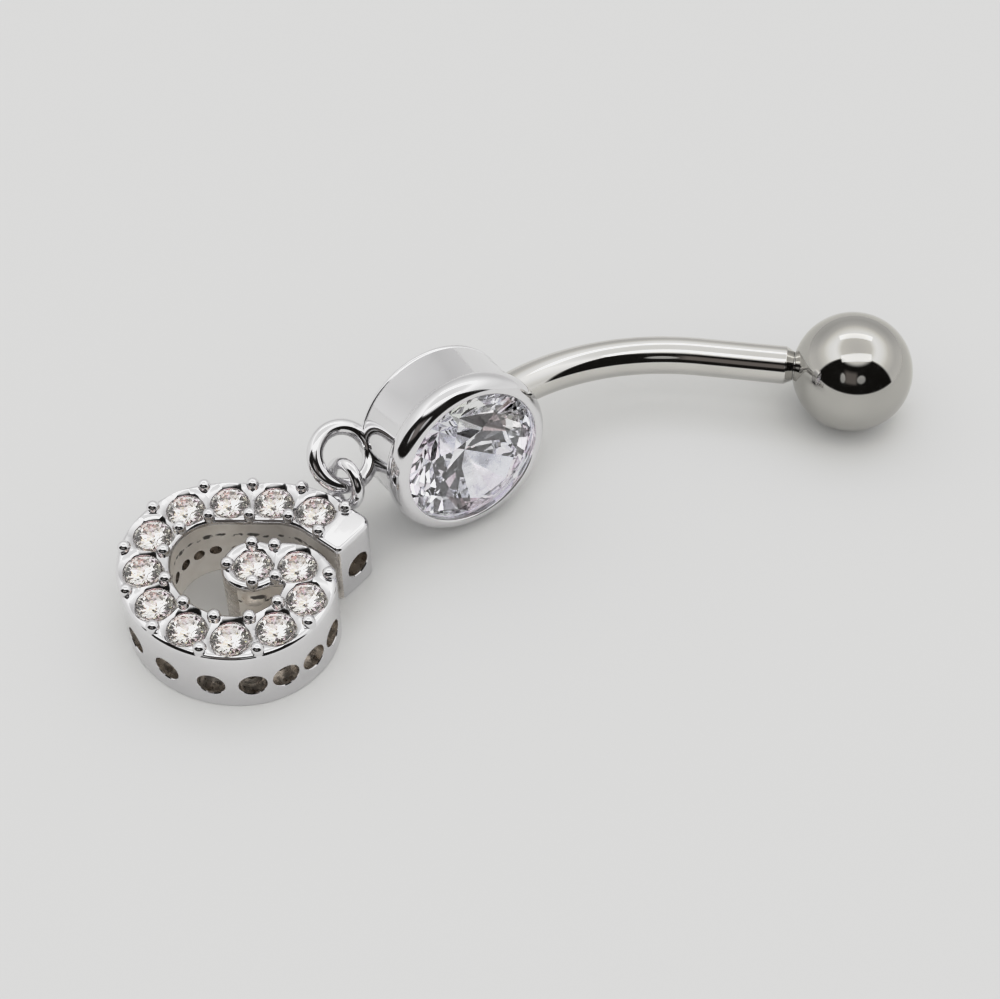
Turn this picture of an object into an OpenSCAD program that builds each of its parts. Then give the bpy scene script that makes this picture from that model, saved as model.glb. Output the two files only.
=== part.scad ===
// Navel ring: a curved bar with a screw-on ball, a round stone in a cup, and a small stone-set scroll
// that hangs from the cup by two closed rings. It lies on a table, the scroll flat.
// Sizes are in mm, +Z is up, and the origin is at the bottom centre of the whole piece.

/* [Bar and ball] */
// Wire of the bar, 14 gauge
bar_d = 1.6; // [1.5:0.05:1.65]
// Radius of the bar's bend, to its middle line
bend_r = 9.65; // [9.3:0.05:10.2]
// Turn of the bend
bend_turn = 59.6; // [56:0.2:62]
// Angle by which the bar leaves the cup towards its back
bar_dip = 18.2; // [16:0.2:20]
// Straight part from the bend to the shoulder
bar_straight = 4; // [3:0.02:5]
// Ball on the end
ball_d = 5.2; // [4:0.05:5.6]
// Plain pin that the ball goes on
pin_d = 1.2; // [1:0.05:1.3]
// Length of the pin from the bar's shoulder
pin_length = 2.5; // [2:0.05:3]
// Play around the pin, on the radius
pin_play = 0.05; // [0.02:0.01:0.08]
// Space between the shoulder and the ball's own surface, on the middle line
ball_space = 0.02; // [0.01:0.01:0.2]
// Bevel on the bar's end, across
bar_bevel = 0.17; // [0.05:0.01:0.18]
// Length of that bevel
bevel_length = 0.28; // [0.1:0.02:0.4]

/* [Cup] */
// Width across the cup's side
cup_d = 6.94; // [6.8:0.02:7.1]
// Depth of the cup, back to lip
cup_depth = 3.45; // [3.4:0.02:3.7]
// Height of the lip that holds the stone
lip_height = 1.05; // [0.9:0.01:1.15]
// How far the lip stands out past the side
lip_out = 0.14; // [0.04:0.01:0.16]
// Radius of the lip's rounded edge
lip_round = 0.32; // [0.26:0.01:0.42]
// Bevel at the back edge of the cup
cup_bevel = 0.15; // [0.05:0.01:0.25]
// Angle of the cup's middle line above the table
cup_lift = 9; // [8:0.2:10]
// Where the cup faces, seen from above
cup_turn = -57.1; // [-60:0.1:-54]
// Height of the bar and the ring above the cup's back
joint_height = 0.5; // [0.45:0.01:0.6]

/* [Main stone] */
// Width of the large stone
stone_d = 6.1; // [6:0.02:6.14]
// Width of its flat top, as a part of the whole
table_part = 0.57; // [0.52:0.01:0.62]
// Slope of the top's large facets
crown_angle = 34; // [32:0.5:35]
// Slope of the lower facets
pavilion_angle = 40.5; // [39.5:0.1:41]
// Thickness of the stone's edge
girdle = 0.12; // [0.08:0.01:0.16]
// Height of that edge above the cup's back
girdle_height = 2.86; // [2.82:0.01:2.9]

/* [Rings] */
// Wire of the cup's ring
ring_wire = 0.64; // [0.55:0.01:0.66]
// Radius of the cup's ring, to the middle of its wire
ring_r = 1.18; // [1.14:0.01:1.3]
// How far the ring's middle stands out from the cup's side
ring_out = 1.03; // [0.95:0.01:1.08]
// Turn of the cup's ring about the line out of the cup
ring_roll = 40; // [36:1:44]
// Width of the solder between ring and cup, along the cup's rim
solder_w = 1.7; // [1.2:0.05:1.9]
// Where the scroll's ring hangs, around the cup's ring
link_angle = 62; // [58:1:66]
// Wire of the scroll's ring
link_wire = 0.52; // [0.45:0.01:0.54]
// Radius of the scroll's ring, to the middle of its wire
link_r = 0.88; // [0.86:0.01:0.95]
// Direction of the scroll's ring, seen from above
link_turn = 100; // [96:1:104]
// Lean of the scroll's ring
link_lean = 20; // [16:1:24]

/* [Scroll] */
// Straight end of the band, which carries the ring
tail_length = 1.9; // [1.7:0.05:2.1]
// Direction of the band at its outer end
tail_turn = 141; // [139:0.5:143]
// Radius of the bend after that end
shoulder_r = 3; // [2.7:0.05:3.3]
// Turn of that bend
shoulder_turn = 39; // [36:0.5:42]
// Straight back of the scroll
back_length = 2.18; // [1.9:0.02:2.4]
// Radius of the scroll's left side
left_r = 2.9; // [2.8:0.02:3.1]
// Radius of the scroll's front
front_r = 3.94; // [3.8:0.02:4.1]
// Radius of the scroll's right side
right_r = 2.82; // [2.7:0.02:2.9]
// Turn of the right side
right_turn = 80; // [76:1:84]
// Radius of the inner curl
curl_r = 1.15; // [1.1:0.01:1.2]
// Turn of the inner curl
curl_turn = 105; // [100:1:110]
// Straight end of the curl, up to the middle of the eye
curl_length = 1.1; // [1:0.02:1.2]
// Width of the scroll's band
band_w = 2.15; // [2:0.01:2.2]
// Thickness of the band
band_t = 3.2; // [3.1:0.01:3.3]
// Distance from the band's end to the first small stone
first_stone = 2.2; // [2.15:0.01:2.3]
// Distance from the band's end to the ring's middle
link_along = 2.15; // [2:0.01:2.18]
// How far the ring's middle stands out from the band
link_out = 0.4; // [0.37:0.01:0.46]
// Width of the scroll's round eye, at its inner end
eye_d = 2.5; // [2.3:0.05:2.6]
// Rounding of the corner at the outer end
tail_round = 0.4; // [0.2:0.05:0.6]
// Width of a small stone
small_d = 1.44; // [1.3:0.02:1.46]
// Width of the seat that a small stone sits in
seat_d = 1.56; // [1.5:0.02:1.58]
// Depth of the straight part of a seat
seat_depth = 0.24; // [0.2:0.01:0.3]
// Width of the round holes in the band's outer wall
side_hole_d = 1.14; // [1:0.02:1.16]
// Depth of these holes
side_hole_depth = 0.5; // [0.4:0.02:0.52]
// Width of the narrower holes that go on through the inner wall
inner_hole_d = 0.5; // [0.4:0.02:0.54]
// Height of these holes above the table
side_hole_height = 1.35; // [1.2:0.01:1.4]
// Depth of the hole in the band's outer end
end_hole_depth = 1; // [0.6:0.05:1.1]
// Width of the shallow dent in the eye's front
eye_dent_d = 1; // [0.8:0.02:1.04]
// Height of this dent above the table
eye_dent_height = 2.5; // [2.4:0.01:2.54]
// Depth of this dent
eye_dent_depth = 0.25; // [0.1:0.01:0.28]
// Width of the beads that hold the stones
bead_d = 0.56; // [0.5:0.02:0.56]
// How far the beads stand in from the band's edges
bead_in = 0.28; // [0.28:0.01:0.32]
// How far the middle of a bead is above the band
bead_lift = 0.1; // [0:0.01:0.14]

/* [Hidden] */
small_stones = 13;
small_lift = 0.08;
seat_tip_d = 0.1;
side_holes = 4;
short_holes = 2;
eye_beads = 3;
eye_bead_turn = 90;
bore_past_pin = 0.3;
function small_name(k) = str("small_stone_", k < 10 ? "0" : "", k);
steel = [0.72, 0.72, 0.73];
silver = [0.86, 0.86, 0.87];
clear = [0.93, 0.95, 0.98];
round_fn = 64;
small_fn = 32;
past = 0.02;
lap = 0.06;
swell = 0.01;

cup_r = cup_d / 2;
bar_r = bar_d / 2;
ball_r = ball_d / 2;
pin_r = pin_d / 2;
lip_r = cup_r + lip_out;
stone_r = stone_d / 2;
stone_gap = 0.06;
seat_ledge = 0.05;
lip_over = 0.1;
bar_root = 0.6;

// The bar lies in the plane of the cup's middle line: along is out of the cup, ahead is to its face.
bar_rise = bend_turn - bar_dip;
bend_along = cup_r - bar_root + bend_r * sin(bar_dip);
bend_ahead = joint_height + bend_r * cos(bar_dip);
bend_end_along = bend_along + bend_r * sin(bar_rise);
bend_end_ahead = bend_ahead - bend_r * cos(bar_rise);
to_ball = bar_straight + ball_space + ball_r;
ball_along = bend_end_along + to_ball * cos(bar_rise);
ball_ahead = bend_end_ahead + to_ball * sin(bar_rise);

// The cup's back edge and the ball both touch the table, which sets the cup's roll.
cup_height = cup_r * cos(cup_lift);
roll_rise = asin((ball_r - cup_height - ball_ahead * sin(cup_lift)) / ball_along / cos(cup_lift));
cup_ahead = [cos(cup_lift) * cos(cup_turn), cos(cup_lift) * sin(cup_turn), sin(cup_lift)];
cup_side = cos(roll_rise) * [-sin(cup_turn), cos(cup_turn), 0]
         + sin(roll_rise) * [-sin(cup_lift) * cos(cup_turn), -sin(cup_lift) * sin(cup_turn), cos(cup_lift)];
cup_across = cross(cup_ahead, cup_side);
ball_at = [0, 0, cup_height] + ball_along * cup_side + ball_ahead * cup_ahead;

// The two rings: the scroll's ring stands around the wire of the cup's ring.
ring_at = [0, 0, cup_height] + joint_height * cup_ahead - (cup_r + ring_out) * cup_side;
ring_axis = cos(ring_roll) * cup_ahead + sin(ring_roll) * cup_across;
ring_down = -cross(ring_axis, cup_side);
link_at = ring_at - ring_r * cos(link_angle) * cup_side + ring_r * sin(link_angle) * ring_down;

// The scroll's middle line. A row is [radius, turn, length], and one with the radius 0 is straight.
path = [[0, 0, tail_length], [shoulder_r, shoulder_turn, 0], [0, 0, back_length], [left_r, 90, 0],
        [front_r, 90, 0], [right_r, right_turn, 0], [curl_r, curl_turn, 0], [0, 0, curl_length]];
hole_counts = [0, short_holes, short_holes, side_holes, side_holes, side_holes, short_holes, 0];
tail_ahead = [cos(tail_turn), sin(tail_turn)];
tail_out = [sin(tail_turn), -cos(tail_turn)];
tail_at = [link_at[0], link_at[1]] - tail_out * (band_w / 2 + link_out) - tail_ahead * link_along;

function arc_length(row) = row[0] == 0 ? row[2] : row[0] * row[1] * PI / 180;
function left(turn) = [-sin(turn), cos(turn)];
function ahead(turn) = [cos(turn), sin(turn)];
function step_to(at, turn, row, part) = row[0] == 0
    ? at + ahead(turn) * row[2] * part
    : at + row[0] * (left(turn) - left(turn + row[1] * part));
function start_turn(i) = i == 0 ? tail_turn : start_turn(i - 1) + path[i - 1][1];
function start_at(i) = i == 0 ? tail_at : step_to(start_at(i - 1), start_turn(i - 1), path[i - 1], 1);
function length_to(i) = i == 0 ? 0 : length_to(i - 1) + arc_length(path[i - 1]);
function row_of(s, i = 0) = i == len(path) - 1 || s < length_to(i + 1) ? i : row_of(s, i + 1);
function part_of(s, i) = (s - length_to(i)) / arc_length(path[i]);
function path_at(s) =
    step_to(start_at(row_of(s)), start_turn(row_of(s)), path[row_of(s)], part_of(s, row_of(s)));
function path_turn(s) = start_turn(row_of(s)) + path[row_of(s)][1] * part_of(s, row_of(s));
path_length = length_to(len(path));
stone_step = (path_length - first_stone) / (small_stones - 1);

// The whole piece is moved so that the origin is at the bottom centre of its box. The box reaches to the
// scroll's left side and front, which are rows 3 and 4 of the path, and to the ball.
function arc_centre(i) = start_at(i) + path[i][0] * left(start_turn(i));
low_x = arc_centre(3)[0] - left_r - swell - band_w / 2;
low_y = arc_centre(4)[1] - front_r - band_w / 2;
move = [-(low_x + ball_at[0] + ball_r) / 2, -(low_y + ball_at[1] + ball_r) / 2, 0];

module in_cup() {
    translate(move + [0, 0, cup_height]) rotate([0, 90 - cup_lift, cup_turn]) rotate([0, 0, 90 + roll_rise])
        children();
}

module along_bar_end() {
    in_cup() translate([bend_end_along, 0, bend_end_ahead]) rotate([0, 90 - bar_rise, 0]) children();
}

// A ring whose middle line is a circle in its own XY plane.
module wire_ring(middle_r, wire_d) {
    rotate_extrude($fn = round_fn) translate([middle_r, 0]) circle(d = wire_d, $fn = small_fn);
}

// A round stone with a flat top: eight large kites, star facets and edge facets above, the same below.
function stone_ring(count, offset, radius, height) =
    [for (k = [0 : count - 1], a = (k + offset) * 360 / count) [radius * cos(a), radius * sin(a), height]];
module cut_stone(width) {
    r = width / 2;
    edge = girdle * width / stone_d;
    top = r * (1 - table_part) * tan(crown_angle);
    deep = r * tan(pavilion_angle);
    star_r = r * (table_part + 0.45 * (1 - table_part));
    star_z = edge + top - (star_r * cos(22.5) - r * table_part) / (r - r * table_part) * top;
    lower_r = 0.24 * r;
    lower_z = -deep * (1 - lower_r * cos(22.5) / r);
    points = concat(stone_ring(8, 0, r * table_part, edge + top), stone_ring(8, 0.5, star_r, star_z),
                    stone_ring(16, 0, r, edge), stone_ring(16, 0, r, 0), stone_ring(8, 0.5, lower_r, lower_z),
                    [[0, 0, -deep]]);
    faces = concat([[for (k = [7 : -1 : 0]) k]],
        [for (k = [0 : 7]) [k, (k + 1) % 8, 8 + k]],
        [for (k = [0 : 7]) [k, 8 + k, 16 + 2 * k, 8 + (k + 7) % 8]],
        [for (k = [0 : 7]) [8 + k, 16 + 2 * k + 1, 16 + 2 * k]],
        [for (k = [0 : 7]) [8 + k, 16 + (2 * k + 2) % 16, 16 + 2 * k + 1]],
        [for (k = [0 : 15]) [16 + k, 16 + (k + 1) % 16, 32 + (k + 1) % 16, 32 + k]],
        [for (k = [0 : 7]) [48 + k, 32 + 2 * k, 32 + 2 * k + 1]],
        [for (k = [0 : 7]) [48 + k, 32 + 2 * k + 1, 32 + (2 * k + 2) % 16]],
        [for (k = [0 : 7]) [56, 48 + (k + 7) % 8, 32 + 2 * k, 48 + k]]);
    polyhedron(points = points, faces = faces);
}

module bar_body() {
    full_length = bar_straight - bevel_length;
    color(steel) {
        in_cup() translate([bend_along, 0, bend_ahead]) rotate([90, 0, 0]) rotate([0, 0, -90 - bar_dip])
            rotate_extrude(angle = bend_turn, $fn = round_fn)
                translate([bend_r, 0]) circle(r = bar_r, $fn = small_fn);
        along_bar_end() {
            translate([0, 0, -lap]) cylinder(r = bar_r + swell, h = lap + full_length, $fn = small_fn);
            translate([0, 0, full_length]) {
                cylinder(r1 = bar_r + swell, r2 = bar_r - bar_bevel, h = bevel_length, $fn = small_fn);
                cylinder(r = pin_r, h = pin_length + bevel_length, $fn = small_fn);
            }
        }
    }
}

module cup_metal() {
    color(silver) in_cup() {
        cylinder(r1 = cup_r - cup_bevel, r2 = cup_r, h = cup_bevel, $fn = round_fn);
        translate([0, 0, cup_bevel])
            cylinder(r = cup_r, h = cup_depth - lip_height - cup_bevel + lap, $fn = round_fn);
        translate([0, 0, cup_depth - lip_height]) {
            cylinder(r = lip_r, h = lip_height - lip_round, $fn = round_fn);
            cylinder(r = lip_r - lip_round, h = lip_height, $fn = round_fn);
        }
        translate([0, 0, cup_depth - lip_round]) rotate_extrude($fn = round_fn)
            translate([lip_r - lip_round, 0]) circle(r = lip_round, $fn = small_fn);
    }
}

module cup_hollow() {
    pocket_r = stone_r + stone_gap;
    under_lip = girdle_height + girdle + lip_over * tan(crown_angle) + stone_gap;
    seat_low = girdle_height - 2 * stone_gap;
    seat_r = pocket_r - seat_ledge;
    seat_deep = (seat_r - seat_tip_d / 2) * tan(pavilion_angle);
    in_cup() {
        translate([0, 0, seat_low]) cylinder(r = pocket_r, h = under_lip - seat_low, $fn = round_fn);
        translate([0, 0, seat_low + past - seat_deep])
            cylinder(r1 = seat_tip_d / 2, r2 = seat_r, h = seat_deep, $fn = round_fn);
        translate([0, 0, under_lip - past])
            cylinder(r = stone_r - lip_over, h = cup_depth - under_lip + 2 * past, $fn = round_fn);
    }
}

// The ring is soldered on: the solder spreads from its wire along the cup's side.
module cup_ring() {
    wire_side = ring_r - ring_wire / 2 + past;
    solder_t = ring_wire - 2 * past;
    color(silver) in_cup() translate([-cup_r - ring_out, 0, joint_height]) {
        rotate([-ring_roll, 0, 0]) wire_ring(ring_r, ring_wire);
        translate([0, 0, -solder_t / 2]) linear_extrude(solder_t)
            polygon([[wire_side, -solder_t / 2], [ring_r, -solder_w / 2], [ring_r, solder_w / 2],
                     [wire_side, solder_t / 2]]);
    }
}

module bar_and_cup() {
    difference() {
        union() {
            bar_body();
            cup_metal();
            cup_ring();
        }
        cup_hollow();
    }
}

module main_stone() {
    color(clear) in_cup() translate([0, 0, girdle_height]) cut_stone(stone_d);
}

module ball() {
    bore_r = pin_r + pin_play;
    bore_depth = pin_length + bore_past_pin;
    color(steel) along_bar_end() difference() {
        translate([0, 0, to_ball]) sphere(d = ball_d, $fn = round_fn);
        translate([0, 0, bar_straight]) cylinder(r = bore_r, h = bore_depth, $fn = small_fn);
    }
}

// A straight stretch from start to end. The first one has a rounded corner at its outer end.
module band_straight(start, end, corner, width) {
    polygon(concat(
        [for (a = [180 : 15 : 270]) [start + corner + corner * cos(a), corner - width / 2 + corner * sin(a)]],
        [[end, -width / 2], [end, width / 2], [start, width / 2]]));
}

// An arc of the band, under half a turn.
module band_arc(radius, turn, width) {
    reach = (radius + width) * 2;
    parts = ceil(turn / 45);
    intersection() {
        difference() {
            circle(r = radius + width / 2, $fn = round_fn);
            circle(r = radius - width / 2, $fn = round_fn);
        }
        polygon(concat([[0, 0]], [for (k = [0 : parts]) reach * ahead(k * turn / parts)]));
    }
}

// Every other stretch is a hair wider and laps over its neighbours.
module band_stretch(i) {
    radius = path[i][0];
    wide = i % 2;
    width = band_w + wide * 2 * swell;
    if (radius == 0)
        translate(start_at(i)) rotate([0, 0, start_turn(i)])
            band_straight(-wide * lap, path[i][2] + wide * lap, i == 0 ? tail_round : 0, width);
    else {
        extra = wide * lap / radius * 180 / PI;
        translate(start_at(i) + radius * left(start_turn(i))) rotate([0, 0, start_turn(i) - 90 - extra])
            band_arc(radius, path[i][1] + 2 * extra, width);
    }
}

module scroll_band() {
    linear_extrude(band_t) {
        for (i = [0 : len(path) - 1]) band_stretch(i);
        translate(path_at(path_length)) circle(d = eye_d, $fn = round_fn);
    }
}

// A pair of beads stands before each stone, at the band's two edges, and three more around the eye.
// The tight end of the scroll has no room for the inner bead.
module scroll_beads() {
    for (k = [0 : small_stones - 1], side = [-1, 1]) {
        s = first_stone + (k - 0.5) * stone_step;
        radius = path[row_of(s)][0];
        spot = path_at(s) + side * (band_w / 2 - bead_in) * left(path_turn(s));
        if (side < 0 || radius == 0 || radius > band_w)
            translate([spot[0], spot[1], band_t + bead_lift]) sphere(d = bead_d, $fn = small_fn);
    }
    for (k = [0 : eye_beads - 1]) {
        spot = path_at(path_length) + (small_d / 2 + bead_d / 2 + past)
             * ahead(path_turn(path_length) + (k / (eye_beads - 1) - 0.5) * 2 * eye_bead_turn);
        translate([spot[0], spot[1], band_t + bead_lift]) sphere(d = bead_d, $fn = small_fn);
    }
}

// A round hole that goes across the band from its right-hand wall, at a place on the middle line.
module across_band(at, turn, from_middle, height, width, depth) {
    translate(concat(at, [height])) rotate([0, 0, turn]) translate([0, -from_middle - past, 0])
        rotate([-90, 0, 0]) cylinder(d = width, h = depth + past, $fn = small_fn);
}

// Each stretch has its own number of holes, evenly spaced. The tight curl has no room for the inner ones.
module wall_holes() {
    for (i = [0 : len(path) - 1]) if (hole_counts[i] > 0) for (k = [1 : hole_counts[i]]) {
        s = length_to(i) + arc_length(path[i]) * (k - 0.5) / hole_counts[i];
        across_band(path_at(s), path_turn(s), band_w / 2, side_hole_height, side_hole_d, side_hole_depth);
        if (path[i][0] == 0 || path[i][0] > band_w)
            across_band(path_at(s), path_turn(s), band_w / 2, side_hole_height, inner_hole_d, band_w + past);
    }
}

module scroll_holes() {
    for (k = [0 : small_stones - 1]) {
        s = first_stone + k * stone_step;
        translate(concat(path_at(s), [band_t - seat_depth])) {
            cylinder(d = seat_d, h = seat_depth + past, $fn = small_fn);
            translate([0, 0, past - small_d / 2])
                cylinder(d1 = seat_tip_d, d2 = seat_d - 2 * past, h = small_d / 2, $fn = small_fn);
        }
    }
    wall_holes();
    across_band(tail_at, tail_turn - 90, 0, side_hole_height, side_hole_d, end_hole_depth);
    across_band(path_at(path_length), path_turn(path_length) + 180, eye_d / 2, eye_dent_height, eye_dent_d,
                eye_dent_depth);
}

module scroll() {
    color(silver) translate(move) {
        difference() {
            union() {
                scroll_band();
                translate(link_at) rotate([0, 0, link_turn]) rotate([90 + link_lean, 0, 0])
                    wire_ring(link_r, link_wire);
            }
            scroll_holes();
        }
        scroll_beads();
    }
}

module small_stone(k) {
    spot = path_at(first_stone + (k - 1) * stone_step);
    color(clear) translate(move + [spot[0], spot[1], band_t - seat_depth + small_lift]) cut_stone(small_d);
}

bar_and_cup();
main_stone();
ball();
scroll();
for (k = [1 : small_stones]) small_stone(k);
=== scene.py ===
import math

import bmesh
import bpy
import numpy as np
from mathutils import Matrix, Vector


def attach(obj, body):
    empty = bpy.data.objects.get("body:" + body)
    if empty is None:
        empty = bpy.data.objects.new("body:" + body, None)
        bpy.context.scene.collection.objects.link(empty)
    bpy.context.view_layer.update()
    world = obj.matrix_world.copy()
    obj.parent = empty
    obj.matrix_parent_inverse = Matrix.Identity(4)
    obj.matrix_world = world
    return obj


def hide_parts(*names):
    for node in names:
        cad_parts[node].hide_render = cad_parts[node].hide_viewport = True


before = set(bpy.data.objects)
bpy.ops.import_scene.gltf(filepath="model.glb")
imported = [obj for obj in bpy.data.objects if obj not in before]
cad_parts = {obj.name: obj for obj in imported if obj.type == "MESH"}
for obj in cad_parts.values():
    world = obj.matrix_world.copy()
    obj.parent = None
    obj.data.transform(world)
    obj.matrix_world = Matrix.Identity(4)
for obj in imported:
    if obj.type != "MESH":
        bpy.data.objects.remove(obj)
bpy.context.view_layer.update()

# The table, the light tent and the camera.
# The ring lies on a pale matt table inside a light tent whose front is open, so polished metal mirrors pale
# walls, two lamps overhead and one dark opening.
MM = 0.001
LENS, SENSOR = 72, 36
CAMERA_AT = Vector((-1.304, -53.607, 65.65)) * MM
CAMERA_TILT = math.radians(40)
scene = bpy.context.scene
camera = bpy.data.objects.new("camera", bpy.data.cameras.new("camera"))
scene.collection.objects.link(camera)
camera.data.lens = LENS
camera.data.sensor_width = SENSOR
camera.data.clip_start = 0.002
camera.data.clip_end = 20
camera.location = CAMERA_AT
camera.rotation_euler = (CAMERA_TILT, 0, 0)
scene.camera = camera

# The picture is developed with a soft curve: a little darker below the middle, slow to burn out above it.
# Each tone is what the camera sees and what is shown for it.
WHOLE_PICTURE = 3
TONE_ENDS = ((0, 0), (3, 1.15))
TONES = (
    (0.1, 0.078), (0.2, 0.17), (0.3, 0.275), (0.4, 0.39), (0.5, 0.54),
    (0.58, 0.63), (0.7, 0.7), (0.85, 0.79), (1.0, 0.88), (1.5, 1.02),
)
develop = scene.view_settings
develop.view_transform = "Standard"
develop.use_curve_mapping = True
develop.curve_mapping.use_clip = False
tone_curve = develop.curve_mapping.curves[WHOLE_PICTURE]
for point, (seen, shown) in zip(tone_curve.points, TONE_ENDS):
    point.location = (seen, shown)
for seen, shown in TONES:
    tone_curve.points.new(seen, shown)
develop.curve_mapping.update()
scene.cycles.max_bounces = 24
scene.cycles.glossy_bounces = 16
scene.cycles.transmission_bounces = 16

tent = bpy.data.worlds.new("light_tent")
scene.world = tent
tent.use_nodes = True
tree = tent.node_tree
tree.nodes.clear()


def wire(tree, source, target):
    """A link from one socket to another."""
    tree.links.new(source, target)


def maths(tree, operation, *values):
    """What a Math node makes of numbers and sockets."""
    node = tree.nodes.new("ShaderNodeMath")
    node.operation = operation
    for socket, value in zip(node.inputs, values):
        if isinstance(value, (int, float)):
            socket.default_value = value
        else:
            wire(tree, value, socket)
    return node.outputs[0]


def fade(tree, value, start, end):
    """A soft step from 0 where the value is start to 1 where it is end."""
    node = tree.nodes.new("ShaderNodeMapRange")
    node.interpolation_type = "SMOOTHSTEP"
    node.inputs["From Min"].default_value = start
    node.inputs["From Max"].default_value = end
    wire(tree, value, node.inputs["Value"])
    return node.outputs["Result"]


# A Mix node's colour sockets go by number, because its other sockets have the same names.
MIX_FIRST, MIX_SECOND, MIX_RESULT = 6, 7, 2


def mixed(tree, share, first, second):
    """A colour between two, each given as numbers or as a socket."""
    node = tree.nodes.new("ShaderNodeMix")
    node.data_type = "RGBA"
    wire(tree, share, node.inputs["Factor"])
    for index, colour in ((MIX_FIRST, first), (MIX_SECOND, second)):
        if isinstance(colour, tuple):
            node.inputs[index].default_value = (*colour, 1)
        else:
            wire(tree, colour, node.inputs[index])
    return node.outputs[MIX_RESULT]


direction = tree.nodes.new("ShaderNodeTexCoord")
apart = tree.nodes.new("ShaderNodeSeparateXYZ")
wire(tree, direction.outputs["Generated"], apart.inputs[0])
side, depth, height = apart.outputs

# Pale walls, with a brighter seam where they meet the roof of the tent. Each tone has its height, where 1 is
# straight up.
WALL_TONES = ((0.0, 0.77), (0.3, 0.72), (0.52, 0.85), (0.68, 1.12), (0.8, 1.3), (0.9, 0.86), (1.0, 0.8))
walls = tree.nodes.new("ShaderNodeValToRGB")
wire(tree, height, walls.inputs["Fac"])
while len(walls.color_ramp.elements) < len(WALL_TONES):
    walls.color_ramp.elements.new(0.5)
for element, (place, value) in zip(walls.color_ramp.elements, WALL_TONES):
    element.position = place
    element.color = (value, value * 0.998, value * 0.99, 1)

# The open front, which is dark, with two pale patches of the room beyond it. Each edge is where the dark
# begins and where it is full. Each patch has its place and its half size, across and up, and how pale it is.
FRONT_SKEW, FRONT_EDGE = 0.11, (-0.25, -0.32)
FOOT_EDGE, TOP_EDGE = (0.0, 0.05), (0.9, 0.8)
PATCHES = ((-0.45, 0.47, 0.08, 0.15, 0.6), (0.13, 0.5, 0.15, 0.13, 0.55))
PATCH_EDGE = (1.1, 0.5)
opening = maths(tree, "ADD", depth, maths(tree, "MULTIPLY", side, FRONT_SKEW))
opening = maths(tree, "MULTIPLY", fade(tree, opening, *FRONT_EDGE), fade(tree, height, *FOOT_EDGE))
opening = maths(tree, "MULTIPLY", opening, fade(tree, height, *TOP_EDGE))
for across, up, wide, tall, share in PATCHES:
    far = maths(tree, "POWER", maths(tree, "DIVIDE", maths(tree, "SUBTRACT", side, across), wide), 2.0)
    high = maths(tree, "POWER", maths(tree, "DIVIDE", maths(tree, "SUBTRACT", height, up), tall), 2.0)
    patch = maths(tree, "MULTIPLY", fade(tree, maths(tree, "ADD", far, high), *PATCH_EDGE), share)
    opening = maths(tree, "MULTIPLY", opening, maths(tree, "SUBTRACT", 1.0, patch))

# Mirrors see the opening dark. What comes through a stone sees it paler, and matt things get light from it.
SHARE_THROUGH_STONE = 0.3
seen_by = tree.nodes.new("ShaderNodeLightPath")
mirrored = maths(tree, "ADD", seen_by.outputs["Is Camera Ray"], seen_by.outputs["Is Glossy Ray"])
through_stone = maths(tree, "MULTIPLY", seen_by.outputs["Is Transmission Ray"], SHARE_THROUGH_STONE)
opening = maths(tree, "MULTIPLY", opening, maths(tree, "MAXIMUM", mirrored, through_stone))

# The wall behind is a little darker, and the dark room is faintly brown in its middle.
BACK_SHADE, BACK_EDGE = 0.2, (0.3, 0.85)
DARK_ROOM, BROWN_ROOM = (0.012, 0.011, 0.01), (0.2, 0.18, 0.17)
BROWN_FOOT, BROWN_TOP = (0.3, 0.42), (0.74, 0.62)
BROWN_MIDDLE, BROWN_SIDES = -0.2, (0.26, 0.12)
shade = tree.nodes.new("ShaderNodeVectorMath")
shade.operation = "SCALE"
wire(tree, walls.outputs["Color"], shade.inputs[0])
behind = maths(tree, "MULTIPLY", fade(tree, depth, *BACK_EDGE), BACK_SHADE)
wire(tree, maths(tree, "SUBTRACT", 1.0, behind), shade.inputs["Scale"])
brown = maths(tree, "MULTIPLY", fade(tree, height, *BROWN_FOOT), fade(tree, height, *BROWN_TOP))
beside = maths(tree, "ABSOLUTE", maths(tree, "SUBTRACT", side, BROWN_MIDDLE))
brown = maths(tree, "MULTIPLY", brown, fade(tree, beside, *BROWN_SIDES))
room = mixed(tree, brown, DARK_ROOM, BROWN_ROOM)
sky = tree.nodes.new("ShaderNodeBackground")
wire(tree, mixed(tree, opening, shade.outputs[0], room), sky.inputs["Color"])
sky.inputs["Strength"].default_value = 1.0
wire(tree, sky.outputs[0], tree.nodes.new("ShaderNodeOutputWorld").inputs["Surface"])

# The two lamps, long and narrow, one behind the ring and one before it. Mirrors see them at full strength,
# and all else gets about 0.4 of it.
LAMP_STRENGTH, LAMP_FADE = 1.9, (-0.8, 1.0)
LAMPS = (
    ("back_lamp", (0.03, 0.24, 0.435), 0.46, 0.095),
    ("front_lamp", (0.0, -0.14, 0.48), 0.52, 0.13),
)
for lamp_name, place, length, width in LAMPS:
    lamp = bpy.data.lights.new(lamp_name, "AREA")
    lamp.shape = "RECTANGLE"
    lamp.size, lamp.size_y = length, width
    lamp.energy = LAMP_STRENGTH * math.pi * length * width
    lamp.use_nodes = True
    glow = lamp.node_tree.nodes["Emission"]
    ray = lamp.node_tree.nodes.new("ShaderNodeLightPath")
    strength = fade(lamp.node_tree, ray.outputs["Is Glossy Ray"], *LAMP_FADE)
    wire(lamp.node_tree, strength, glow.inputs["Strength"])
    holder = bpy.data.objects.new(lamp_name, lamp)
    holder.location = place
    holder.rotation_euler = Vector(place).to_track_quat("Z", "Y").to_euler()
    scene.collection.objects.link(holder)

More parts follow.
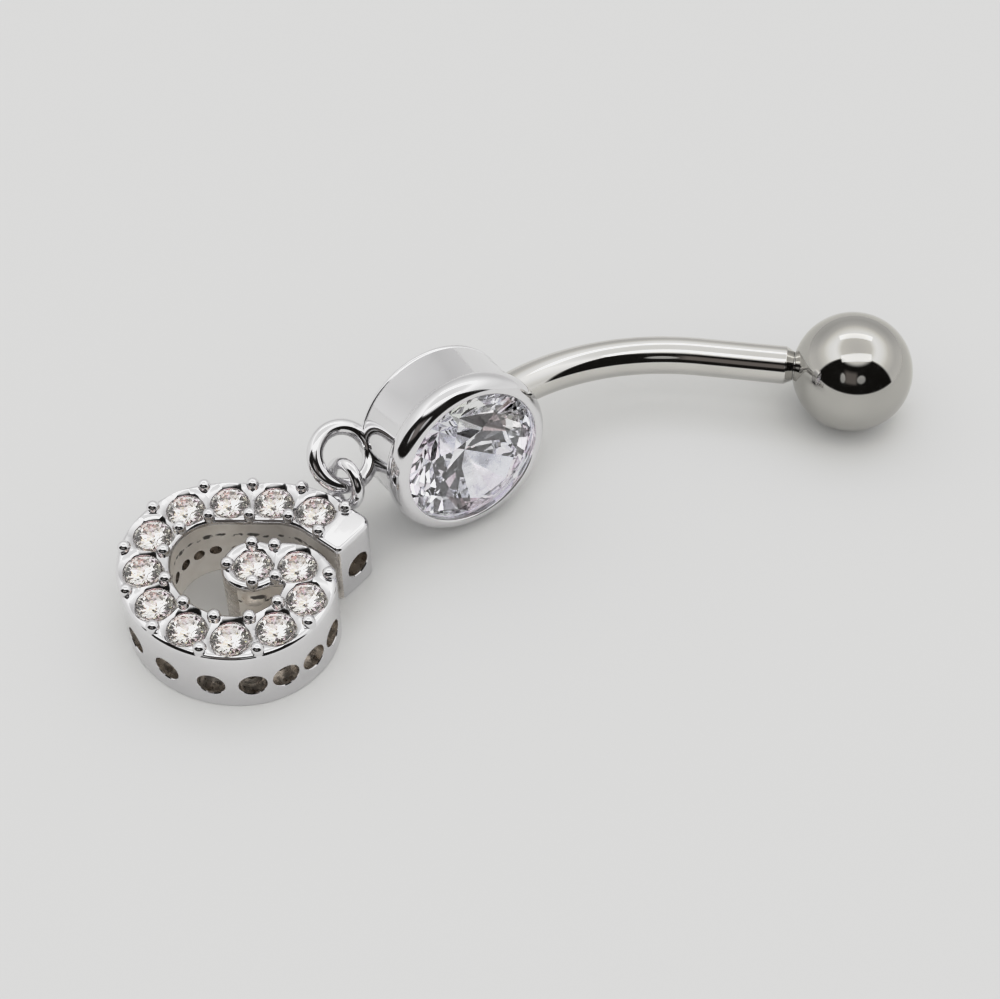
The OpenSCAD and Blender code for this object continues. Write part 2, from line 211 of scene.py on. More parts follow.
TABLE_HALF = 4
table_corners = [(TABLE_HALF * x, TABLE_HALF * y, 0) for x, y in ((-1, -1), (1, -1), (1, 1), (-1, 1))]
table_mesh = bpy.data.meshes.new("table")
table_mesh.from_pydata(table_corners, [], [(0, 1, 2, 3)])
table = bpy.data.objects.new("table", table_mesh)
scene.collection.objects.link(table)
paper = bpy.data.materials.new("pale_table")
paper.use_nodes = True
shader = paper.node_tree.nodes["Principled BSDF"]
shader.inputs["Base Color"].default_value = (0.7, 0.7, 0.695, 1)
shader.inputs["Roughness"].default_value = 0.8
shader.inputs["Specular IOR Level"].default_value = 0.15
table_mesh.materials.append(paper)

# The curved bar.
# A surgical steel wire of 1.66 mm, bent, mirror polished and soldered to the cup's back edge, where its end
# is rounded. Its other end is bevelled and carries the plain pin that the ball goes on.
CUP_BACK = np.array([-4.180607, 3.160667, 3.427279])
CUP_FACE = np.array([0.536487, -0.829283, 0.156434])
TO_BAR = np.array([0.843862, 0.525206, -0.109803])
CUP_TURN = np.cross(CUP_FACE, TO_BAR)


def shade_smooth(mesh, sharp):
    """Smooth shading, broken where two faces meet at more than this angle in degrees."""
    mesh.polygons.foreach_set("use_smooth", [True] * len(mesh.polygons))
    mesh.set_sharp_from_angle(angle=math.radians(sharp))


def make_piece(name, points, faces):
    """A closed, smooth-shaded mesh from points in mm, faces outwards."""
    mesh = bpy.data.meshes.new(name)
    mesh.from_pydata([tuple(np.asarray(p, float) * MM) for p in points], [], faces)
    shape = bmesh.new()
    shape.from_mesh(mesh)
    bmesh.ops.triangulate(shape, faces=[face for face in shape.faces if len(face.verts) > 4])
    bmesh.ops.recalc_face_normals(shape, faces=shape.faces)
    if shape.calc_volume(signed=True) < 0:
        bmesh.ops.reverse_faces(shape, faces=shape.faces)
    shape.to_mesh(mesh)
    shape.free()
    shade_smooth(mesh, 40)
    piece = bpy.data.objects.new(name, mesh)
    scene.collection.objects.link(piece)
    return piece


def oval(middle, first, second, count):
    """Points on an oval round a middle, where first and second are its half widths as vectors."""
    return [middle + math.cos(a) * first + math.sin(a) * second
            for a in np.linspace(0, 2 * math.pi, count, endpoint=False)]


def skin(rings, closed_path=False):
    """Faces between rings of equal count; the first and last ring are capped."""
    count, total = len(rings[0]), len(rings)
    points = [p for ring in rings for p in ring]
    faces = []
    for i in range(total if closed_path else total - 1):
        a, b = i * count, (i + 1) % total * count
        for k in range(count):
            faces.append((a + k, a + (k + 1) % count, b + (k + 1) % count, b + k))
    if not closed_path:
        faces.append(tuple(reversed(range(count))))
        faces.append(tuple(range((total - 1) * count, total * count)))
    return points, faces


def applied(piece):
    """The piece with its modifiers made part of a plain mesh."""
    evaluated = piece.evaluated_get(bpy.context.evaluated_depsgraph_get())
    mesh = bpy.data.meshes.new_from_object(evaluated)
    piece.modifiers.clear()
    old = piece.data
    piece.data = mesh
    bpy.data.meshes.remove(old)
    mesh.name = piece.name
    return piece


def baked(piece):
    """The finished piece, its shading evened out over large faces."""
    weights = piece.modifiers.new("even_shading", "WEIGHTED_NORMAL")
    weights.keep_sharp = True
    return applied(piece)


def coat(piece, *materials):
    """These materials take the place of all that the piece had."""
    piece.data.materials.clear()
    for material in materials:
        piece.data.materials.append(material)


# Every metal shares one group of nodes for the waves and fine marks that polishing leaves.
POLISH_INPUTS = {
    "Wave Size": 700.0, "Wave Depth": 0.1, "Marks Size": 3000.0, "Roughness": 0.05, "Roughness Spread": 0.04,
}
marks = bpy.data.node_groups.new("polish_marks", "ShaderNodeTree")
for label, usual in POLISH_INPUTS.items():
    made = marks.interface.new_socket(label, in_out="INPUT", socket_type="NodeSocketFloat")
    made.default_value = usual
marks.interface.new_socket("Tone", in_out="OUTPUT", socket_type="NodeSocketFloat")
marks.interface.new_socket("Roughness", in_out="OUTPUT", socket_type="NodeSocketFloat")
marks.interface.new_socket("Normal", in_out="OUTPUT", socket_type="NodeSocketVector")
given = marks.nodes.new("NodeGroupInput")
gives = marks.nodes.new("NodeGroupOutput")
place = marks.nodes.new("ShaderNodeTexCoord")
wave = marks.nodes.new("ShaderNodeTexNoise")
wave.inputs["Detail"].default_value = 1.0
wire(marks, place.outputs["Object"], wave.inputs["Vector"])
wire(marks, given.outputs["Wave Size"], wave.inputs["Scale"])
rise = marks.nodes.new("ShaderNodeBump")
rise.inputs["Distance"].default_value = 0.0001
wire(marks, given.outputs["Wave Depth"], rise.inputs["Strength"])
wire(marks, wave.outputs["Fac"], rise.inputs["Height"])
grain = marks.nodes.new("ShaderNodeTexNoise")
grain.inputs["Detail"].default_value = 4.0
wire(marks, place.outputs["Object"], grain.inputs["Vector"])
wire(marks, given.outputs["Marks Size"], grain.inputs["Scale"])
worn = fade(marks, grain.outputs["Fac"], 0.35, 0.75)
spread = maths(marks, "MULTIPLY", worn, given.outputs["Roughness Spread"])
wire(marks, maths(marks, "ADD", given.outputs["Roughness"], spread), gives.inputs["Roughness"])
wire(marks, wave.outputs["Fac"], gives.inputs["Tone"])
wire(marks, rise.outputs["Normal"], gives.inputs["Normal"])


def placed(tree, group, values):
    """A group of nodes put into a material's tree, with values of its own."""
    node = tree.nodes.new("ShaderNodeGroup")
    node.node_tree = group
    for label, value in values.items():
        node.inputs[label].default_value = value
    return node


def polished_metal(name, dark, light, wave_size, wave_depth, marks_size, roughness, roughness_spread):
    """Metal whose tone and gloss vary a little, and whose surface waves slightly."""
    material = bpy.data.materials.new(name)
    material.use_nodes = True
    own = material.node_tree
    surface = own.nodes["Principled BSDF"]
    surface.inputs["Metallic"].default_value = 1.0
    values = (wave_size, wave_depth, marks_size, roughness, roughness_spread)
    polish = placed(own, marks, dict(zip(POLISH_INPUTS, values)))
    wire(own, mixed(own, polish.outputs["Tone"], dark, light), surface.inputs["Base Color"])
    wire(own, polish.outputs["Roughness"], surface.inputs["Roughness"])
    wire(own, polish.outputs["Normal"], surface.inputs["Normal"])
    return material


BAR_R = 0.83
BEND_R = 9.65
BEND_AT = CUP_BACK + 5.884032 * TO_BAR + 9.66723 * CUP_FACE
BEND_START, BEND_TURN = math.radians(-108.2), math.radians(59.6)
END_DIRECTION = np.array([0.987775, -0.154452, 0.021088])
SHOULDER = np.array([11.423984, 6.970825, 2.54475])
STRAIGHT = 4.0
PIN_R, PIN_LENGTH = 0.6, 2.5
START_ROUND, ROUND_STEPS, BEND_STEPS = 0.5, 8, 60
BAR_SIDES = 64

# The rings of points that the bar is skinned over: its rounded start, then its bend.
bar_rings = []
rounding = [(START_ROUND * math.sin(a), math.cos(a))
            for a in np.linspace(math.radians(84), 0, ROUND_STEPS + 1)]
for back, share in rounding[:-1] + [(0, 1)] * (BEND_STEPS + 1):
    angle = BEND_START + (BEND_TURN * (len(bar_rings) - ROUND_STEPS) / BEND_STEPS if back == 0 else 0)
    out = math.cos(angle) * TO_BAR + math.sin(angle) * CUP_FACE
    ahead = -math.sin(angle) * TO_BAR + math.cos(angle) * CUP_FACE
    middle = BEND_AT + BEND_R * out - back * ahead
    bar_rings.append(oval(middle, share * BAR_R * out, share * BAR_R * CUP_TURN, BAR_SIDES))

# Its straight end, the bevel and the pin, each as a length along the bar and a radius.
PIN_END = STRAIGHT + PIN_LENGTH
end_profile = [
    (0.5, BAR_R), (3.6, BAR_R), (3.69, BAR_R), (3.72, 0.826), (3.75, 0.812), (3.77, 0.795),
    (4.05, 0.645), (4.07, 0.632), (4.08, 0.615), (4.08, PIN_R),
    (PIN_END - 0.1, PIN_R), (PIN_END - 0.03, 0.57), (PIN_END, 0.5),
]
for reach, radius in end_profile:
    middle = SHOULDER + (reach - STRAIGHT) * END_DIRECTION
    bar_rings.append(oval(middle, radius * out, radius * CUP_TURN, BAR_SIDES))
bar = make_piece("curved_bar", *skin(bar_rings))
bar_steel = polished_metal(
    "bar_steel", (0.63, 0.62, 0.6), (0.72, 0.71, 0.69),
    wave_size=500, wave_depth=0.05, marks_size=2600, roughness=0.04, roughness_spread=0.05,
)
coat(bar, bar_steel)
baked(bar)
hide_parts("bar_and_cup")
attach(bar, "jewel")

# The cup that holds the large stone.
# Turned from plated metal: a plain round wall with a closed back and a fine rim round it, and a lip that is
# rolled over the stone's edge. The stone's point sits in a pale cone inside, which has a painted glow.
silver = polished_metal(
    "plated_silver", (0.74, 0.735, 0.745), (0.83, 0.825, 0.835),
    wave_size=420, wave_depth=0.16, marks_size=2400, roughness=0.05, roughness_spread=0.07,
)


def turned(name, profile, start, axis, out, count):
    """A piece turned on a lathe: profile points are (radius, height) from axis to axis, in mm."""
    start, axis, out = (np.asarray(given, float) for given in (start, axis, out))
    side_way = np.cross(axis, out)
    points, faces, last = [], [], None
    for radius, up in profile:
        first = len(points)
        if radius == 0:
            points.append(start + up * axis)
            ring = [first] * count
        else:
            points += oval(start + up * axis, radius * out, radius * side_way, count)
            ring = list(range(first, first + count))
        if last:
            for k in range(count):
                face = []
                for point in (last[k], last[(k + 1) % count], ring[(k + 1) % count], ring[k]):
                    if point not in face:
                        face.append(point)
                if len(face) > 2:
                    faces.append(tuple(face))
        last = ring
    return make_piece(name, points, faces)


def rounded(centre_r, centre_h, radius, start, end, steps):
    """Profile points on an arc, angles in degrees from straight out."""
    return [(centre_r + radius * math.cos(math.radians(a)), centre_h + radius * math.sin(math.radians(a)))
            for a in np.linspace(start, end, steps + 1)]


CUP_R, LIP_LOW = 3.47, 2.4
RIM_CENTRE, RIM_ROUND = 3.352, 0.14

# The back with its rim, the round wall, and where the lip begins.
cup_profile = [(0, 0), (3.2, 0)]
cup_profile += rounded(RIM_CENTRE, RIM_ROUND, RIM_ROUND, -90, 46, 12)
cup_profile += [(CUP_R - 0.005, 0.262), (CUP_R, 0.3), (CUP_R, LIP_LOW - 0.12)]
cup_profile += [(CUP_R + 0.015, LIP_LOW - 0.06), (CUP_R + 0.05, LIP_LOW - 0.015)]
cup_profile += [(CUP_R + 0.12, LIP_LOW + 0.04)]

# The lip's outer bulge, its crown, and the edge that lies on the stone.
cup_profile += [
    (3.63, 2.52), (3.65, 2.65), (3.656, 2.78), (3.645, 2.9), (3.618, 3.0), (3.58, 3.09),
    (3.53, 3.165), (3.47, 3.235), (3.4, 3.295), (3.33, 3.34), (3.25, 3.375), (3.17, 3.395),
    (3.1, 3.4), (3.06, 3.39), (3.03, 3.36), (3.015, 3.32), (3.01, 3.2),
]

# The groove that holds the stone's edge, and the cone under it.
cup_profile += [(3.03, 3.12), (3.11, 3.1), (3.11, 2.75), (3.05, 2.74), (0.06, 0.24), (0, 0.22)]
cup = turned("stone_cup", cup_profile, CUP_BACK, CUP_FACE, TO_BAR, 144)


def give_glow(metal, colour, strength):
    """A faint light of the metal's own, in place of light thrown to and fro in a hollow."""
    surface = metal.node_tree.nodes["Principled BSDF"]
    surface.inputs["Emission Color"].default_value = (*colour, 1)
    surface.inputs["Emission Strength"].default_value = strength


SEAT_TOP = 3.0
bright_seat = polished_metal(
    "bright_seat", (0.96, 0.96, 0.96), (0.98, 0.98, 0.98),
    wave_size=420, wave_depth=0.1, marks_size=2400, roughness=0.25, roughness_spread=0.07,
)
# The seat has a painted glow, so that what is seen through the stone is paler.
give_glow(bright_seat, (0.97, 0.97, 1.0), 0.23)
coat(cup, silver, bright_seat)
for face in cup.data.polygons:
    faces_stone = np.dot(np.array(face.normal), CUP_FACE) > 0.5
    under_stone = np.dot(np.array(face.center) / MM - CUP_BACK, CUP_FACE) < SEAT_TOP
    face.material_index = int(faces_stone and under_stone)
baked(cup)
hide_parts("bar_and_cup")
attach(cup, "jewel")

# The large stone.
# A round clear stone of 6.1 mm, brilliant cut: a flat table with kite, star and edge facets round it, and
# long facets below. Its mesh is the CAD's own.

# Both kinds of stone share one group of nodes for a faint tint and for painted coloured fire: now and then a
# facet is mixed towards a random colour, in place of the colours that a cut stone splits light into.
FACET_STEP, FIRE_POWER = 0.04, 3.0
facets = bpy.data.node_groups.new("facet_tint", "ShaderNodeTree")
facets.interface.new_socket("Tint", in_out="INPUT", socket_type="NodeSocketColor")
facets.interface.new_socket("Share", in_out="INPUT", socket_type="NodeSocketFloat")
facets.interface.new_socket("Colour", in_out="OUTPUT", socket_type="NodeSocketColor")
tint_given = facets.nodes.new("NodeGroupInput")
tint_made = facets.nodes.new("NodeGroupOutput")
facet = facets.nodes.new("ShaderNodeNewGeometry")
step = facets.nodes.new("ShaderNodeVectorMath")
step.operation = "SNAP"
step.inputs[1].default_value = (FACET_STEP, FACET_STEP, FACET_STEP)
wire(facets, facet.outputs["True Normal"], step.inputs[0])
chance = facets.nodes.new("ShaderNodeTexWhiteNoise")
wire(facets, step.outputs[0], chance.inputs["Vector"])
rare = maths(facets, "POWER", chance.outputs["Value"], FIRE_POWER)
fire_amount = maths(facets, "MULTIPLY", rare, tint_given.outputs["Share"])
tint_with_painted_fire = mixed(facets, fire_amount, tint_given.outputs["Tint"], chance.outputs["Color"])
wire(facets, tint_with_painted_fire, tint_made.inputs["Colour"])


def clear_stone(name, tint, share, index):
    """Clear cut stone: strong refraction, a faint tint, and painted coloured fire that changes from facet to
    facet.
    """
    material = bpy.data.materials.new(name)
    material.use_nodes = True
    own = material.node_tree
    surface = own.nodes["Principled BSDF"]
    surface.inputs["Roughness"].default_value = 0.0
    surface.inputs["IOR"].default_value = index
    surface.inputs["Transmission Weight"].default_value = 1.0
    tint_and_fire_node = placed(own, facets, {"Tint": (*tint, 1), "Share": share})
    wire(own, tint_and_fire_node.outputs["Colour"], surface.inputs["Base Color"])
    return material


# The large stone gets a small share of painted coloured fire.
large_clear = clear_stone("large_clear_stone", (0.95, 0.96, 1.0), 0.35, 2.16)
coat(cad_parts["main_stone"], large_clear)

# The cup's ring.
# A closed ring of 0.7 mm wire, soldered to the cup's side opposite the bar.
# The solder has flowed out along the wall of the cup.


def wire_ring(name, centre, first, second, middle_r, wire_r, around=96, across=32):
    """A closed ring of round wire in the plane of two directions, in mm."""
    axis = np.cross(first, second)
    rings = []
    for out in oval(np.zeros(3), first, second, around):
        rings.append(oval(centre + middle_r * out, wire_r * out, wire_r * axis, across))
    return make_piece(name, *skin(rings, closed_path=True))


def joined(piece, *others, operation="UNION"):
    """The piece with others welded on, or cut out of it."""
    for other in others:
        weld = piece.modifiers.new(operation.lower(), "BOOLEAN")
        weld.operation = operation
        weld.solver = "MANIFOLD"
        weld.object = other
    applied(piece)
    for other in others:
        bpy.data.objects.remove(other)
    shade_smooth(piece.data, 35)
    return piece


RING_AT = np.array([-7.75, 0.44, 4.02])
RING_AXIS = np.array([0.416692, -0.512549, 0.750774])
RING_R, RING_WIRE_R = 1.21, 0.35
ring = wire_ring("cup_ring", RING_AT, TO_BAR, np.cross(RING_AXIS, TO_BAR), RING_R, RING_WIRE_R)

# The solder runs from inside the wire to inside the cup's wall, and widens on its way.
SOLDER_FROM, SOLDER_TO = RING_R - 0.32, RING_R + 0.2
SOLDER_TALL, SOLDER_THICK = 0.27, 0.24
TALL_GAIN, THICK_GAIN = 0.6, 0.16
solder_rings = []
for share in np.linspace(0, 1, 9):
    along = SOLDER_FROM + (SOLDER_TO - SOLDER_FROM) * share
    tall = SOLDER_TALL + TALL_GAIN * share ** 2.2
    thick = SOLDER_THICK + THICK_GAIN * share ** 2
    solder_rings.append(oval(RING_AT + along * TO_BAR, tall * CUP_TURN, thick * CUP_FACE, 40))
joined(ring, make_piece("solder", *skin(solder_rings)))
coat(ring, silver)
baked(ring)
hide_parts("bar_and_cup")
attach(ring, "jewel")

# The ball.
# A 5.2 mm steel ball, mirror polished, bored to go on the bar's pin. It is the only piece that comes off the
# ring, and it slides out along the pin.
BALL_R, BORE_R, MOUTH_R, BORE_DEPTH = 2.6, 0.65, 0.668, 2.8
BALL_AT = np.array([14.011955, 6.56616, 2.6])
mouth = math.degrees(math.asin(MOUTH_R / BALL_R))
ball_profile = rounded(0, 0, BALL_R, 90, -90 + mouth, 96)
ball_profile[0] = (0, BALL_R)
bore_low = -BALL_R * math.cos(math.radians(mouth)) + 0.01
bore_high = BORE_DEPTH - BALL_R - 0.02
ball_profile += [(BORE_R + 0.005, bore_low), (BORE_R, bore_low + 0.01)]
ball_profile += [(BORE_R, bore_high), (0, bore_high + 0.3)]
ball = turned("screw_ball", ball_profile, BALL_AT, END_DIRECTION, CUP_TURN, 128)
steel = polished_metal(
    "polished_steel", (0.51, 0.5, 0.475), (0.59, 0.58, 0.555),
    wave_size=500, wave_depth=0.05, marks_size=2600, roughness=0.045, roughness_spread=0.05,
)
coat(ball, steel)
baked(ball)
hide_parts("ball")
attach(ball, "ball")

# The scroll.
# A cast and plated band, bent into a scroll that ends in a round eye. Thirteen seats are cut into its top,
# round holes are drilled into its walls, and beads hold the stones.
BAND_W, BAND_T, EYE_R = 2.15, 3.2, 1.25
TAIL_AT = np.array([-7.082417, -3.115431])
TAIL_TURN = math.radians(141)

# The band's middle line from its outer end to the eye. Each stretch is a bend of (radius, degrees, 0), or
# straight, as (0, 0, length).
PATH = [
    (0, 0, 1.9), (3, 39, 0), (0, 0, 2.18), (2.9, 90, 0),
    (3.94, 90, 0), (2.82, 80, 0), (1.15, 105, 0), (0, 0, 1.1),
]


def heading(turn):
    """The direction in which the band runs, seen from above."""
    return np.array([math.cos(turn), math.sin(turn)])


def left_of(turn):
    """The direction to the left of it."""
    return np.array([-math.sin(turn), math.cos(turn)])


def along_path(s):
    """The middle line of the band: point, direction and bend radius at a length from its outer end."""
    at, turn = TAIL_AT, TAIL_TURN
    for k, (radius, degrees, length) in enumerate(PATH):
        sweep = math.radians(degrees)
        size = length if radius == 0 else radius * sweep
        if s <= size or k == len(PATH) - 1:
            if radius == 0:
                return at + s * heading(turn), turn, radius
            return at + radius * (left_of(turn) - left_of(turn + s / radius)), turn + s / radius, radius
        if radius == 0:
            at = at + size * heading(turn)
        else:
            at = at + radius * (left_of(turn) - left_of(turn + sweep))
        turn, s = turn + sweep, s - size


stretches = [length if radius == 0 else radius * math.radians(degrees) for radius, degrees, length in PATH]
PATH_LENGTH = sum(stretches)
stations = []
start = 0.0
for stretch, (_, degrees, _) in zip(stretches, PATH):
    steps = max(4, math.ceil(stretch / 0.14), math.ceil(degrees / 3))
    stations += [start + stretch * k / steps for k in range(steps)]
    start += stretch
stations.append(PATH_LENGTH)

half = BAND_W / 2
CORNER_OUT, CORNER_IN, CORNER_END = 0.55, 0.26, 0.26


def corner(end, turn, ahead, side, radius, steps=6):
    """Points and outward directions round a corner of the band's end; ahead and side are 1 or -1."""
    middle = end - ahead * radius * heading(turn) + side * (half - radius) * left_of(turn)
    first = turn + math.atan2(side, ahead) - math.pi / 4
    ways = [heading(first + math.pi / 2 * k / steps) for k in range(steps + 1)]
    return [(middle + radius * way, way) for way in ways]


def long_side(side, first_corner):
    """Points and outward directions along a side of the band, between its corners."""
    found = []
    for s in stations:
        if first_corner < s < PATH_LENGTH - CORNER_END:
            at, turn, _ = along_path(s)
            found.append((at + side * half * left_of(turn), side * left_of(turn)))
    return found


begin, begin_turn, _ = along_path(0)
finish, finish_turn, _ = along_path(PATH_LENGTH)
outline = corner(begin, begin_turn, -1, -1, CORNER_OUT) + long_side(-1, CORNER_OUT)
outline += corner(finish, finish_turn, 1, -1, CORNER_END) + corner(finish, finish_turn, 1, 1, CORNER_END)
outline += long_side(1, CORNER_IN)[::-1] + corner(begin, begin_turn, -1, 1, CORNER_IN)

# The band's wall from its foot to its top, each row as an inset and a height.
TOP_ROUND, LOW_ROUND = 0.22, 0.05
rows = [(LOW_ROUND * (1 - math.sin(a)), LOW_ROUND * (1 - math.cos(a)))
        for a in np.linspace(0, math.pi / 2, 4)]
rows += [(0, LOW_ROUND + 0.05), (0, BAND_T - TOP_ROUND - 0.03)]
rows += [(TOP_ROUND * (1 - math.cos(a)), BAND_T - TOP_ROUND * (1 - math.sin(a)))
         for a in np.linspace(0, math.pi / 2, 8)]
band_rings = [[(*(at - inset * out), up) for at, out in outline] for inset, up in rows]
scroll = make_piece("scroll_band", *skin(band_rings))

eye_profile = [(0, 0)] + [(EYE_R - inset, up) for inset, up in rows] + [(0, BAND_T)]
eye = turned("eye", eye_profile, (*finish, 0), (0, 0, 1), (1, 0, 0), 96)
joined(scroll, eye)

# What is set along the band stands on spots. A tree puts a copy of a shape on each, turned with the band.
setting = bpy.data.node_groups.new("set_along_band", "GeometryNodeTree")
setting.interface.new_socket("Geometry", in_out="INPUT", socket_type="NodeSocketGeometry")
shape_socket = setting.interface.new_socket("Shape", in_out="INPUT", socket_type="NodeSocketObject")
size_socket = setting.interface.new_socket("Size", in_out="INPUT", socket_type="NodeSocketFloat")
size_socket.default_value = 1.0
finish_socket = setting.interface.new_socket("Finish", in_out="INPUT", socket_type="NodeSocketMaterial")
setting.interface.new_socket("Geometry", in_out="OUTPUT", socket_type="NodeSocketGeometry")
takes = setting.nodes.new("NodeGroupInput")
brings = setting.nodes.new("NodeGroupOutput")
copies = setting.nodes.new("GeometryNodeInstanceOnPoints")
picked = setting.nodes.new("GeometryNodeObjectInfo")
picked.transform_space = "ORIGINAL"
way = setting.nodes.new("GeometryNodeInputNamedAttribute")
way.data_type = "FLOAT"
way.inputs["Name"].default_value = "heading"
turn_of = setting.nodes.new("ShaderNodeCombineXYZ")
real = setting.nodes.new("GeometryNodeRealizeInstances")
painted = setting.nodes.new("GeometryNodeSetMaterial")
wire(setting, takes.outputs["Geometry"], copies.inputs["Points"])
wire(setting, takes.outputs["Shape"], picked.inputs["Object"])
wire(setting, picked.outputs["Geometry"], copies.inputs["Instance"])
wire(setting, way.outputs["Attribute"], turn_of.inputs["Z"])
wire(setting, turn_of.outputs[0], copies.inputs["Rotation"])
wire(setting, takes.outputs["Size"], copies.inputs["Scale"])
wire(setting, copies.outputs["Instances"], real.inputs["Geometry"])
wire(setting, real.outputs["Geometry"], painted.inputs["Geometry"])
wire(setting, takes.outputs["Finish"], painted.inputs["Material"])
wire(setting, painted.outputs["Geometry"], brings.inputs["Geometry"])


def set_along(name, spots, shape, finish_material, size=1.0):
    """Copies of a shape on (point, heading) spots, as one plain mesh."""
    mesh = bpy.data.meshes.new(name)
    mesh.from_pydata([tuple(np.asarray(at, float) * MM) for at, _ in spots], [], [])
    held = mesh.attributes.new("heading", "FLOAT", "POINT")
    held.data.foreach_set("value", [turn for _, turn in spots])
    piece = bpy.data.objects.new(name, mesh)
    scene.collection.objects.link(piece)
    run = piece.modifiers.new("set_along_band", "NODES")
    run.node_group = setting
    run[shape_socket.identifier] = shape
    run[size_socket.identifier] = size
    run[finish_socket.identifier] = finish_material
    return applied(piece)


FIRST_STONE, STONES = 2.2, 13
STEP = (PATH_LENGTH - FIRST_STONE) / (STONES - 1)
stone_spots = []
for k in range(STONES):
    at, turn, _ = along_path(FIRST_STONE + k * STEP)
    stone_spots.append(((*at, 0), turn))

# What is cut away starts clear of the metal: the stones' seats, and holes with a wide start and a narrow end.
CLEAR = 0.3
SEAT_R, HOLE_R, INNER_R, HOLE_HEIGHT, HOLE_DEPTH = 0.78, 0.57, 0.25, 1.35, 0.5
seat_profile = [
    (0, 2.26), (0.05, 2.26), (0.74, 2.95), (SEAT_R, 2.97), (SEAT_R, 3.06),
    (0.8, 3.08), (1.03, 3.22), (1.03, 3.9), (0, 3.9),
]
seat = turned("seat_cutter", seat_profile, (0, 0, 0), (0, 0, 1), (1, 0, 0), 56)


def drill(name, radius, *end):
    """A stepped drill that goes into the band's outer wall, wide at first and then as its end says."""
    profile = [(0, -CLEAR), (radius + CLEAR, -CLEAR), (radius, 0.04), (radius, HOLE_DEPTH), *end]
    return turned(name, profile, (0, -half, HOLE_HEIGHT), (0, 1, 0), (1, 0, 0), 48)


# The narrow end goes through the band, but holes in the tight curl are blind.
THROUGH = [(INNER_R, HOLE_DEPTH), (INNER_R, BAND_W + CLEAR), (0, BAND_W + CLEAR)]
STRAIGHT_HOLE_R = 0.5
drills = {
    "straight": drill("straight_drill", STRAIGHT_HOLE_R, *THROUGH),
    "bend": drill("bend_drill", HOLE_R, *THROUGH),
    "curl": drill("curl_drill", HOLE_R, (0, HOLE_DEPTH)),
}

# How many holes each stretch of the path has, evenly along it.
HOLE_COUNTS = [0, 2, 2, 4, 4, 4, 2, 0]
hole_spots = []
start = 0.0
for stretch, count, (radius, _, _) in zip(stretches, HOLE_COUNTS, PATH):
    for k in range(count):
        at, turn, _ = along_path(start + stretch * (k + 0.5) / count)
        bend_kind = "curl" if radius < BAND_W else "bend"
        hole_spots.append(((*at, 0), turn, "straight" if radius == 0 else bend_kind))
    start += stretch

# Neighbours may run into each other, so every other one is cut at a time, which keeps each cutter whole.
cutters = []
for parity in (0, 1):
    cutters.append(set_along(f"seats_{parity}", stone_spots[parity::2], seat, silver))
    for kind, tool in drills.items():
        spots = [(at, turn) for at, turn, drilled in hole_spots[parity::2] if drilled == kind]
        cutters.append(set_along(f"{kind}_holes_{parity}", spots, tool, silver))

# One more hole goes into the band's outer end, and a dent is in the side of the eye.
END_DEPTH = 1.0
blind_profile = [(0, -CLEAR), (HOLE_R + CLEAR, -CLEAR), (HOLE_R, 0.04), (HOLE_R, END_DEPTH), (0, END_DEPTH)]
end_way = (*heading(begin_turn), 0)
end_drill = turned("end_drill", blind_profile, (*begin, HOLE_HEIGHT), end_way, (0, 0, 1), 48)
DENT_R, DENT_DEPTH, DENT_HEIGHT = 0.5, 0.25, 2.5
dent_in = -left_of(finish_turn)
dent_at = finish - EYE_R * dent_in
dent_profile = [(0, -CLEAR), (DENT_R + 0.03, -CLEAR), (DENT_R, 0.03), (DENT_R, DENT_DEPTH), (0, DENT_DEPTH)]
eye_dent = turned("eye_dent", dent_profile, (*dent_at, DENT_HEIGHT), (*dent_in, 0), (0, 0, 1), 48)
joined(scroll, *cutters, end_drill, eye_dent, operation="DIFFERENCE")
for tool in (seat, *drills.values()):
    bpy.data.objects.remove(tool)

# A bead stands on either side between two stones, but not inside the tight curl, and three stand on the eye.
BEAD_R, BEAD_IN, BEAD_LIFT, BEAD_ROOT = 0.28, 0.28, 0.1, 0.35
EYE_BEADS, EYE_BEADS_R = 3, 0.98
bead_profile = [(0, -BEAD_ROOT), (BEAD_R * 0.94, -BEAD_ROOT)]
bead_profile += rounded(0, 0, BEAD_R, -15, 90, 10)[:-1] + [(0, BEAD_R)]
bead = turned("bead_shape", bead_profile, (0, 0, 0), (0, 0, 1), (1, 0, 0), 28)
bead_spots = []
for k in range(STONES):
    at, turn, radius = along_path(FIRST_STONE + (k - 0.5) * STEP)
    for way_out in (-1, 1):
        if way_out < 0 or radius == 0 or radius > BAND_W:
            spot = at + way_out * (half - BEAD_IN) * left_of(turn)
            bead_spots.append(((*spot, BAND_T + BEAD_LIFT), turn))
for k in range(EYE_BEADS):
    spot = finish + EYE_BEADS_R * heading(finish_turn + (k - 1) * math.pi / 2)
    bead_spots.append(((*spot, BAND_T + BEAD_LIFT), finish_turn))
beads = set_along("beads", bead_spots, bead, silver)
bpy.data.objects.remove(bead)
joined(scroll, beads)

# Inside the scroll the plated casting is left unpolished, and its holes are painted darker, as painted shade.
glowing_as_cast = polished_metal(
    "unpolished_casting", (0.82, 0.79, 0.75), (0.96, 0.94, 0.91),
    wave_size=1300, wave_depth=0.5, marks_size=3200, roughness=0.35, roughness_spread=0.2,
)
# The inside also has a faint painted glow, in place of light thrown to and fro inside the scroll.
give_glow(glowing_as_cast, (0.95, 0.88, 0.8), 0.05)
# The metal in the holes is painted darker, as painted shade inside them.
hole_shade_metal = polished_metal(
    "tarnished_hole", (0.42, 0.385, 0.35), (0.95, 0.91, 0.86),
    wave_size=1700, wave_depth=0.8, marks_size=3200, roughness=0.2, roughness_spread=0.2,
)
